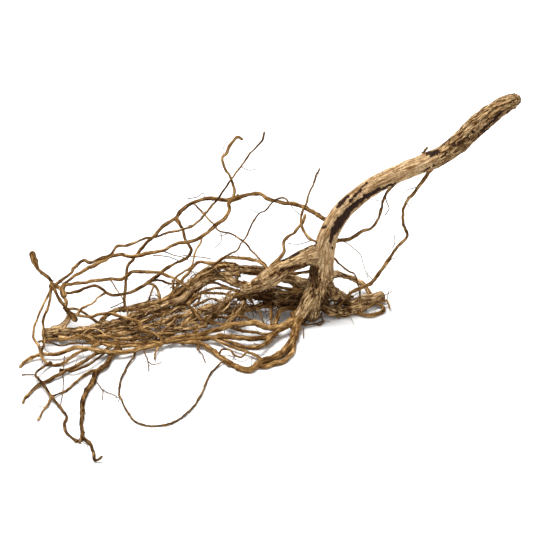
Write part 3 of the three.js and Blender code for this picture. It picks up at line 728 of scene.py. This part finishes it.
def barkBody(bm, lines):
    # finds where each vertex lies along its root, then raises the grain, the fissures and the flakes' edges
    grain = bm.verts.layers.float_vector["grain"]
    tone = bm.verts.layers.float["tone"]
    ageAndShade = bm.verts.layers.float["ageAndShade"]
    flake = bm.verts.layers.float["flake"]
    spots = [(n, i) for n, line in enumerate(lines) for i in range(len(line))]
    tree = kdtree.KDTree(len(spots))
    for index, (n, i) in enumerate(spots):
        tree.insert(lines[n][i][0], index)
    tree.balance()
    bm.normal_update()
    toFront = Vector((0, -0.8, 0.6))
    moves = []
    for vert in bm.verts:
        found = min(tree.find_n(vert.co, 6), key=lambda f: f[2] - lines[spots[f[1]][0]][spots[f[1]][1]][1])
        n, i = spots[found[1]]
        centre, radius, along = lines[n][i]
        following = lines[n][min(i + 1, len(lines[n]) - 1)][0]
        heading = (following - lines[n][max(i - 1, 0)][0]).normalized()
        out = vert.co - centre
        along += out.dot(heading)
        out -= heading * out.dot(heading)
        side = (Vector((0.2, 1, 0.1)) - heading * heading.y).normalized()
        x, y = out.dot(side), out.dot(heading.cross(side))
        vert[grain] = (x + n * 31, y, along)
        across, up = vert.co.x, 0.6 * vert.co.y + 0.8 * vert.co.z
        isStem = 1 if n == 0 else 0
        upper = isStem * max(0, min(1, (across - body["fissuresFrom"]) / 14))
        low = isStem * max(0, min(1, (62 - vert.co.z) / 30))
        patchy = noise.fractal(vert.co / 9, 0.8, 2, 3) * 0.3
        # painted shade: the bark is made darker on faces that point downwards
        undersideShade = max(0, -vert.normal.z) * 0.25
        vert[ageAndShade] = max(0, min(1, max(bodyAges[n], upper * 0.64, low * 0.62) + patchy * (1 - 0.6 * isStem) + undersideShade))
        # painted shade: the bark darkens inside the strokes drawn in the crown's forks
        if vert.co.z < 75:
            darkBarkAndShade = strokeDepth(forkShadeStrokes, across, up) + noise.fractal(vert.co / 3, 0.9, 2, 3) * 3
            vert[ageAndShade] = max(vert[ageAndShade], min(1, 0.5 + darkBarkAndShade * 0.25))
        vert[tone] = 0.5 + 0.5 * noise.noise(Vector((n * 3.1, along / 30, 1.7)))
        streak = noise.noise(Vector((x / 1.3 + n * 9, y / 1.3, along / 16)))
        fine = noise.noise(Vector((x / 0.6 + n * 9, y / 0.6, along / 7)))
        lift = (streak * 0.7 + fine * 0.3) * body["grainDepth"] * (1 + vert[ageAndShade])
        ridge = noise.noise(Vector((x / 1.5 + 40, y / 1.5, along / 26)))
        ridge = abs(ridge) * 2 - 0.5
        lift += ridge * body["fissureDepth"] * upper
        lump = noise.fractal(vert.co / 5, 0.9, 2.1, 3)
        lift += lump * body["crownRough"] * vert[ageAndShade] * (0.35 if isStem else 1)
        lift += noise.noise(vert.co / 11) * 0.45
        facing = vert.normal.dot(toFront)
        edge = noise.fractal(Vector((x / 1.7, y / 1.7, along / 3)), 0.8, 2.2, 3) * 1.5
        inside = -4
        if n < 7:
            strokes = frontFlakes if facing > -0.1 else backFlakes
            inside = strokeDepth(strokes, across, up) + edge
        vert[flake] = inside
        lift -= body["flakeDepth"] * max(0, min(1, inside / 0.7 + 0.5))
        moves.append(vert.normal * lift)
    for vert, move in zip(bm.verts, moves):
        vert.co += move


def flattenUnder(bm):
    for vert in bm.verts:
        vert.co.z = max(vert.co.z, 0.02)


def buildStemAndCrown():
    fused, lines = fuseBody()
    bm = newMesh()
    bm.from_mesh(fused)
    bpy.data.meshes.remove(fused)
    barkBody(bm, lines)
    flattenUnder(bm)
    return makeObject("stemAndCrown", bm, stemWood)


# the roots that leave the body, finer rings on the thick ones
roots = {
    "stepThick": 1.1,
    "stepThin": 1.3,
    "thick": 2.2,  # mm, radius from which a root counts as thick
    "bend": 0.75,
    "swell": 0.22,
    "knobs": 0.17,
    "flare": 0.6,  # how much wider a root is where it joins another
    "reach": 3,  # mm, how near another root's middle line a joined end lies
}
wholePlant = [stemRoute] + crownRoutes + leaderRoutes + rightRoutes + archRoutes + knotRoutes + frontRoutes
wholePlant += bundleRoutes + leftRoutes + thinRoutes + crookRoutes


def makeNeighbours():
    tree = kdtree.KDTree(sum(len(smoothLine(route)) for radii, route in wholePlant))
    owners = []
    for n, (radii, route) in enumerate(wholePlant):
        for spot in smoothLine(route):
            tree.insert(spot, len(owners))
            owners.append((n, max(radii)))
    tree.balance()
    return tree, owners


neighbours, owners = makeNeighbours()


def isJoined(spot, root):
    for found, index, away in neighbours.find_range(spot, 14):
        n, radius = owners[index]
        if wholePlant[n] is not root and away < radius + roots["reach"]:
            return True
    return False


def shapeEnds(stations, root):
    # a joined end flares into its neighbour, and a free one is broken off round
    total = stations[-1][2]
    for spot, fromEnd in ((stations[0][0], lambda along: along), (stations[-1][0], lambda along: total - along)):
        joined = isJoined(spot, root)
        for station in stations:
            away = fromEnd(station[2])
            if joined:
                station[1] *= 1 + roots["flare"] * math.exp(-away / (station[1] * 1.5))
            elif away < station[1]:
                station[1] *= math.sqrt(max(0.12, 1 - (1 - away / station[1]) ** 2))


def knobbly(bm, amount):
    # lumps and cracks on the skin, deeper on thick roots
    bm.normal_update()
    grain = bm.verts.layers.float_vector["grain"]
    ageAndShade = bm.verts.layers.float["ageAndShade"]
    moves = []
    for vert in bm.verts:
        g = vert[grain]
        radius = math.hypot(g.x - round(g.x / 31) * 31, g.y)
        lump = noise.noise(Vector((g.x / 1.8, g.y / 1.8, g.z / 6)))
        crack = noise.noise(Vector((g.x / 0.9 + 5, g.y / 0.9, g.z / 9)))
        moves.append(vert.normal * (lump * 1.3 + crack) * amount * max(radius, 0.6))
        vert[ageAndShade] = 0.45 + 0.5 * noise.noise(Vector((g.x / 40, g.z / 25, 3)))
    for vert, move in zip(bm.verts, moves):
        vert.co += move


def buildRoots(name, group, firstSeed, material, slim):
    bm = newMesh()
    grown = []
    for n, root in enumerate(group):
        radii, route = root
        seed = firstSeed + n
        thick = max(radii) >= roots["thick"]
        stations = stationsOf(route, [radius * slim for radius in radii], roots["stepThick" if thick else "stepThin"])
        roughen(stations, seed, roots["bend"], roots["swell"])
        shapeEnds(stations, root)
        gatherTubes(bm, [growTube(stations, 12 if thick else 8, seed)])
        grown.append(stations)
    knobbly(bm, roots["knobs"])
    flattenUnder(bm)
    makeObject(name, bm, material)
    return grown


# thin strands that run along the bundle's roots and cross between them
strands = {
    "count": 120,
    "shortest": 25,
    "longest": 85,
    "thinnest": 0.35,
    "thickest": 0.85,
    "drift": 5,  # mm from the root that a strand follows
    "seed": 5,
}


def buildStrands(hosts):
    rng = random.Random(strands["seed"])
    bm = newMesh()
    tubes = []
    grown = []
    while len(tubes) < strands["count"]:
        host = rng.choice(hosts)
        length = int(rng.uniform(strands["shortest"], strands["longest"]) / 1.6)
        begin = rng.randrange(0, max(1, len(host) - length))
        part = host[begin:begin + length]
        thick = rng.uniform(strands["thinnest"], strands["thickest"])
        seed = 600 + len(tubes)
        path = []
        for i, (centre, radius, along) in enumerate(part):
            ease = math.sin(math.pi * min(1, 0.12 + i / len(part)))
            drift = noise.noise_vector(Vector((i / 13, seed * 1.7, 3))) * strands["drift"] * 2
            kink = noise.noise_vector(Vector((i / 3, seed * 2.9, 8))) * 0.8
            spot = centre + drift * (0.35 + 0.65 * ease) + kink
            spot.z = max(spot.z, thick)
            path.append([spot, thick * (1 - 0.3 * i / len(part)), i * 1.6])
        if len(path) > 4:
            tubes.append(growTube(path, 5, seed))
            grown.append(path)
    gatherTubes(bm, tubes)
    knobbly(bm, roots["knobs"])
    flattenUnder(bm)
    makeObject("strands", bm, rootBark)
    return grown


# hair-like rootlets: those with a route of their own, and many that sprout at random
hairs = {
    "count": 1300,
    "shortest": 5,
    "longest": 26,
    "radius": 0.3,
    "step": 1.8,
    "curl": 0.5,
    "seed": 11,
}


def sprout(rng, stations):
    start, radius, along = rng.choice(stations[2:-1])
    heading = Vector((rng.uniform(-1, 1), rng.uniform(-1, 1), rng.uniform(-0.7, 0.8))).normalized()
    length = rng.uniform(hairs["shortest"], hairs["longest"]) * rng.uniform(0.4, 1)
    spot = start.copy()
    count = max(3, int(length / hairs["step"]))
    thick = hairs["radius"] * rng.uniform(0.7, 1.5)
    path = []
    for n in range(count + 1):
        path.append([spot.copy(), thick * (1 - 0.6 * n / count), n * hairs["step"]])
        bend = Vector((rng.uniform(-1, 1), rng.uniform(-1, 1), rng.uniform(-1, 0.8)))
        heading = (heading + bend * hairs["curl"]).normalized()
        spot = spot + heading * hairs["step"]
        spot.z = max(spot.z, 0.5)
    return path


def buildRootlets(grown):
    rng = random.Random(hairs["seed"])
    bm = newMesh()
    tubes = []
    for n, (radii, route) in enumerate(hairRoutes):
        stations = stationsOf(route, radii, 1.6)
        roughen(stations, 300 + n, 0.8, 0.1)
        tubes.append(growTube(stations, 5, 300 + n))
    low = cadLow / mm
    high = cadHigh / mm
    while len(tubes) < hairs["count"]:
        path = sprout(rng, rng.choice(grown))
        inside = all(low[k] < spot[k] < high[k] for spot, radius, along in path for k in (0, 1))
        if inside:
            tubes.append(growTube(path, 4, 400 + len(tubes)))
    gatherTubes(bm, tubes)
    flattenUnder(bm)
    return makeObject("rootlets", bm, rootletBark)


def addMath(tree, operation, first, second):
    node = tree.nodes.new("ShaderNodeMath")
    node.operation = operation
    for socket, value in zip(node.inputs, (first, second)):
        if isinstance(value, bpy.types.NodeSocket):
            tree.links.new(value, socket)
        else:
            socket.default_value = value
    return node.outputs[0]


# bark grain, used by every wood: streaks along the root, blotches and fine speckle
def makeBarkGroup():
    group = bpy.data.node_groups.new("barkGrain", "ShaderNodeTree")
    for name, value in (("Streak Width", 1.2), ("Streak Length", 14), ("Blotch Size", 7)):
        socket = group.interface.new_socket(name, in_out="INPUT", socket_type="NodeSocketFloat")
        socket.default_value = value
    for name in ("Streaks", "Blotches", "Speckle", "Cracks"):
        group.interface.new_socket(name, in_out="OUTPUT", socket_type="NodeSocketFloat")
    nodes, links = group.nodes, group.links
    inputs = nodes.new("NodeGroupInput")
    outputs = nodes.new("NodeGroupOutput")
    grain = nodes.new("ShaderNodeAttribute")
    grain.attribute_name = "grain"
    split = nodes.new("ShaderNodeSeparateXYZ")
    links.new(grain.outputs["Vector"], split.inputs[0])
    across = []
    for axis in ("X", "Y"):
        narrow = nodes.new("ShaderNodeMath")
        narrow.operation = "DIVIDE"
        links.new(split.outputs[axis], narrow.inputs[0])
        links.new(inputs.outputs["Streak Width"], narrow.inputs[1])
        across.append(narrow)
    along = nodes.new("ShaderNodeMath")
    along.operation = "DIVIDE"
    links.new(split.outputs["Z"], along.inputs[0])
    links.new(inputs.outputs["Streak Length"], along.inputs[1])
    stretched = nodes.new("ShaderNodeCombineXYZ")
    links.new(across[0].outputs[0], stretched.inputs["X"])
    links.new(across[1].outputs[0], stretched.inputs["Y"])
    links.new(along.outputs[0], stretched.inputs["Z"])
    streaks = nodes.new("ShaderNodeTexNoise")
    streaks.inputs["Scale"].default_value = 1
    streaks.inputs["Detail"].default_value = 8
    streaks.inputs["Roughness"].default_value = 0.74
    links.new(stretched.outputs[0], streaks.inputs["Vector"])
    veins = nodes.new("ShaderNodeTexNoise")
    veins.inputs["Scale"].default_value = 0.7
    veins.inputs["Detail"].default_value = 4
    veins.inputs["Roughness"].default_value = 0.55
    veins.inputs["Distortion"].default_value = 0.6
    links.new(stretched.outputs[0], veins.inputs["Vector"])
    centred = addMath(group, "SUBTRACT", veins.outputs["Fac"], 0.5)
    cracks = addMath(group, "MULTIPLY", addMath(group, "ABSOLUTE", centred, 0), 20)
    links.new(cracks, outputs.inputs["Cracks"])
    shrunk = nodes.new("ShaderNodeVectorMath")
    shrunk.operation = "DIVIDE"
    links.new(grain.outputs["Vector"], shrunk.inputs[0])
    links.new(inputs.outputs["Blotch Size"], shrunk.inputs[1])
    blotches = nodes.new("ShaderNodeTexNoise")
    blotches.inputs["Scale"].default_value = 1
    blotches.inputs["Detail"].default_value = 3
    links.new(shrunk.outputs[0], blotches.inputs["Vector"])
    speckle = nodes.new("ShaderNodeTexNoise")
    speckle.inputs["Scale"].default_value = 1.1
    speckle.inputs["Detail"].default_value = 4
    speckle.inputs["Roughness"].default_value = 0.7
    links.new(grain.outputs["Vector"], speckle.inputs["Vector"])
    links.new(streaks.outputs["Fac"], outputs.inputs["Streaks"])
    links.new(blotches.outputs["Fac"], outputs.inputs["Blotches"])
    links.new(speckle.outputs["Fac"], outputs.inputs["Speckle"])
    return group


def addRamp(tree, source, stops):
    ramp = tree.nodes.new("ShaderNodeValToRGB")
    tree.links.new(source, ramp.inputs["Fac"])
    while len(ramp.color_ramp.elements) < len(stops):
        ramp.color_ramp.elements.new(0.5)
    for element, (position, colour) in zip(ramp.color_ramp.elements, stops):
        element.position = position
        element.color = (*colour, 1)
    return ramp.outputs["Color"]


def addMix(tree, factor, first, second, blend="MIX"):
    mix = tree.nodes.new("ShaderNodeMix")
    mix.data_type = "RGBA"
    mix.blend_type = blend
    for socket, value in ((mix.inputs["Factor"], factor), (mix.inputs["A"], first), (mix.inputs["B"], second)):
        if isinstance(value, bpy.types.NodeSocket):
            tree.links.new(value, socket)
        else:
            socket.default_value = value
    return mix.outputs["Result"]


def readAttribute(tree, name):
    node = tree.nodes.new("ShaderNodeAttribute")
    node.attribute_name = name
    return node.outputs["Fac"]


def startMaterial(name, roughness):
    material = bpy.data.materials.new(name)
    material.use_nodes = True
    tree = material.node_tree
    shader = tree.nodes["Principled BSDF"]
    shader.inputs["Specular IOR Level"].default_value = 0.06
    shader.inputs["Roughness"].default_value = roughness
    bark = tree.nodes.new("ShaderNodeGroup")
    bark.node_tree = barkGroup
    return material, tree, shader, bark


def addBump(tree, shader, height, strength, distance):
    bump = tree.nodes.new("ShaderNodeBump")
    bump.inputs["Strength"].default_value = strength
    bump.inputs["Distance"].default_value = distance * mm
    tree.links.new(height, bump.inputs["Height"])
    tree.links.new(bump.outputs["Normal"], shader.inputs["Normal"])


stemLook = {
    "smooth": [(0.33, (0.19, 0.09, 0.035)), (0.44, (0.44, 0.265, 0.12)), (0.58, (0.8, 0.59, 0.35))],
    "rough": [(0.38, (0.03, 0.012, 0.004)), (0.47, (0.25, 0.133, 0.047)), (0.57, (0.92, 0.65, 0.34))],
    # darkest bark, also used for the painted shade on the undersides and in the crown's forks
    "darkBarkAndShade": [(0.4, (0.02, 0.008, 0.003)), (0.52, (0.1, 0.046, 0.016)), (0.64, (0.42, 0.245, 0.1))],
    "flake": [(0.35, (0.01, 0.006, 0.005)), (0.65, (0.06, 0.03, 0.018))],
}


def makeStemWood():
    material, tree, shader, bark = startMaterial("stemWood", 0.75)
    bark.inputs["Streak Width"].default_value = 1.2
    bark.inputs["Streak Length"].default_value = 10
    streaks, blotches = bark.outputs["Streaks"], bark.outputs["Blotches"]
    smooth = addRamp(tree, streaks, stemLook["smooth"])
    rough = addRamp(tree, streaks, stemLook["rough"])
    darkBarkAndShade = addRamp(tree, streaks, stemLook["darkBarkAndShade"])
    # the age attribute also carries painted shade on the undersides and in the crown's forks, and high values mix
    # towards the darkest colours
    agedAndShaded = addMath(tree, "MULTIPLY", readAttribute(tree, "ageAndShade"), 2)
    wood = addMix(tree, agedAndShaded, smooth, rough)
    wood = addMix(tree, addMath(tree, "SUBTRACT", agedAndShaded, 1), wood, darkBarkAndShade)
    stains = addRamp(tree, blotches, [(0.35, (0.55, 0.44, 0.32)), (0.55, (1, 1, 1))])
    wood = addMix(tree, 0.8, wood, stains, "MULTIPLY")
    cracks = addRamp(tree, bark.outputs["Cracks"], [(0.17, (0.16, 0.09, 0.045)), (0.66, (1, 1, 1))])
    wood = addMix(tree, addMath(tree, "ADD", agedAndShaded, 0.15), wood, addMix(tree, 1.0, wood, cracks, "MULTIPLY"))
    # dark pits: partly the bark's own colour, partly painted shade of small holes that are not modelled
    pitShade = addRamp(tree, bark.outputs["Speckle"], [(0.38, (0.07, 0.035, 0.02)), (0.43, (1, 1, 1))])
    wood = addMix(tree, 0.9, wood, pitShade, "MULTIPLY")
    dark = addRamp(tree, bark.outputs["Speckle"], stemLook["flake"])
    inside = addMath(tree, "ADD", readAttribute(tree, "flake"), addMath(tree, "MULTIPLY", streaks, 0.8))
    edge = addMath(tree, "MULTIPLY", addMath(tree, "SUBTRACT", inside, 0.2), 3)
    edgeRamp = addRamp(tree, edge, [(0, (0, 0, 0)), (1, (1, 1, 1))])
    colour = addMix(tree, edgeRamp, wood, dark)
    tree.links.new(colour, shader.inputs["Base Color"])
    height = addMath(tree, "ADD", streaks, addMath(tree, "MULTIPLY", cracks, 0.5))
    addBump(tree, shader, addMath(tree, "ADD", height, bark.outputs["Speckle"]), 1, 0.6)
    return material


rootLook = {
    "bark": [(0.34, (0.03, 0.012, 0.004)), (0.42, (0.16, 0.078, 0.026)), (0.49, (0.42, 0.245, 0.095)),
             (0.57, (0.9, 0.64, 0.33))],
    "side": [(0.34, (0.026, 0.01, 0.003)), (0.43, (0.125, 0.06, 0.018)), (0.53, (0.34, 0.19, 0.066)),
             (0.63, (0.7, 0.46, 0.205))],
    # a darker copy of the bark colours for the roots that lie on the table: painted shade
    "floor": [(0.34, (0.024, 0.01, 0.003)), (0.43, (0.11, 0.053, 0.016)), (0.53, (0.29, 0.163, 0.055)),
              (0.64, (0.6, 0.39, 0.175))],
    "hair": [(0.35, (0.05, 0.02, 0.008)), (0.6, (0.22, 0.115, 0.043))],
}


def makeRootBark(name, ramp, bumpDepth):
    material, tree, shader, bark = startMaterial(name, 0.85)
    bark.inputs["Streak Width"].default_value = 1.4
    bark.inputs["Streak Length"].default_value = 9
    bark.inputs["Blotch Size"].default_value = 9
    shade = addMath(tree, "MULTIPLY", addMath(tree, "SUBTRACT", readAttribute(tree, "tone"), 0.5), 0.05)
    level = addMath(tree, "ADD", bark.outputs["Streaks"], shade)
    wood = addRamp(tree, level, ramp)
    stains = addRamp(tree, bark.outputs["Blotches"], [(0.38, (0.42, 0.33, 0.22)), (0.56, (1, 1, 1))])
    wood = addMix(tree, 0.75, wood, stains, "MULTIPLY")
    # dark pits: partly the bark's own colour, partly painted shade of small holes that are not modelled
    pitShade = addRamp(tree, bark.outputs["Speckle"], [(0.38, (0.1, 0.05, 0.025)), (0.43, (1, 1, 1))])
    colour = addMix(tree, 0.85, wood, pitShade, "MULTIPLY")
    tree.links.new(colour, shader.inputs["Base Color"])
    addBump(tree, shader, addMath(tree, "ADD", bark.outputs["Streaks"], bark.outputs["Speckle"]), 0.8, bumpDepth)
    return material


barkGroup = makeBarkGroup()
stemWood = makeStemWood()
rootBark = makeRootBark("rootBark", rootLook["bark"], 0.4)
sideBark = makeRootBark("sideBark", rootLook["side"], 0.4)
# the roots on the table get a darker copy of the root bark: painted shade
shadedFloorBark = makeRootBark("shadedFloorBark", rootLook["floor"], 0.4)
rootletBark = makeRootBark("rootletBark", rootLook["hair"], 0.1)
print("materials made")

stemAndCrown = buildStemAndCrown()
frontGroup = frontRoutes[:1] + frontRoutes[4:6] + frontRoutes[7:]
sideGroup = rightRoutes[2:3] + rightRoutes[4:] + archRoutes + knotRoutes + frontRoutes[1:4] + frontRoutes[6:7]
hosts = buildRoots("leaderRoots", leaderRoutes[5:7] + leaderRoutes[9:], 40, rootBark, 0.95)
hosts += buildRoots("bundleRoots", bundleRoutes, 60, rootBark, 0.9)
knot = [stationsOf(route, radii, 1.6) for radii, route in leaderRoutes[7:9]]
spread = buildRoots("frontRoots", frontGroup, 50, sideBark, 0.92)
spread += buildRoots("crookRoots", crookRoutes, 200, sideBark, 0.9) * 4
spread += buildRoots("sideRoots", sideGroup, 80, sideBark, 0.88)
spread += buildRoots("leftRoots", leftRoutes[:1] + leftRoutes[2:], 120, shadedFloorBark, 0.86)
spread += buildRoots("floorLoop", leftRoutes[1:2], 130, shadedFloorBark, 0.66)
spread += buildRoots("thinRoots", thinRoutes, 140, sideBark, 0.88)
tangle = buildStrands(hosts + knot)
rootlets = buildRootlets(spread + tangle + tangle + knot * 20)
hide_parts("melastoma_root")


# floor, camera and light
def makeFloor():
    bm = bmesh.new()
    bmesh.ops.create_grid(bm, x_segments=1, y_segments=1, size=6)
    mesh = bpy.data.meshes.new("floor")
    bm.to_mesh(mesh)
    bm.free()
    floor = bpy.data.objects.new("floor", mesh)
    bpy.context.scene.collection.objects.link(floor)
    material = bpy.data.materials.new("floorWhite")
    material.use_nodes = True
    shader = material.node_tree.nodes["Principled BSDF"]
    shader.inputs["Base Color"].default_value = (0.9, 0.9, 0.9, 1)
    shader.inputs["Roughness"].default_value = 0.9
    mesh.materials.append(material)


framing = {
    "across": -36.4,  # mm on the board, the middle of the picture
    "up": 41.2,
    "width": 426.4,
    "distance": 18,  # m, so far off that nothing looks larger for being nearer
}


def makeCamera():
    camera = bpy.data.cameras.new("camera")
    camera.sensor_width = 36
    camera.lens = camera.sensor_width * framing["distance"] / (framing["width"] * mm)
    camera.clip_end = 50
    holder = bpy.data.objects.new("camera", camera)
    bpy.context.scene.collection.objects.link(holder)
    aim = place([framing["across"], framing["up"], 0]) * mm
    back = Vector((0, -math.sin(boardLean), math.cos(boardLean)))
    holder.location = aim + back * framing["distance"]
    holder.rotation_euler = back.to_track_quat("Z", "Y").to_euler()
    bpy.context.scene.camera = holder


def makeLight(name, spot, size, power):
    light = bpy.data.lights.new(name, "AREA")
    light.size = size
    light.energy = power
    holder = bpy.data.objects.new(name, light)
    bpy.context.scene.collection.objects.link(holder)
    holder.location = spot
    holder.rotation_euler = Vector(spot).to_track_quat("Z", "Y").to_euler()


makeFloor()
makeCamera()
makeLight("topLight", (-0.55, 0.3, 1.8), 1.1, 56)
makeLight("sideLight", (1.4, -1.2, 1.2), 1.4, 7)
world = bpy.data.worlds.new("studio")
world.use_nodes = True
world.node_tree.nodes["Background"].inputs["Color"].default_value = (1, 1, 1, 1)
world.node_tree.nodes["Background"].inputs["Strength"].default_value = 0.5
bpy.context.scene.world = world
bpy.context.scene.view_settings.view_transform = "Standard"
print("stage set")

bpy.context.view_layer.update()
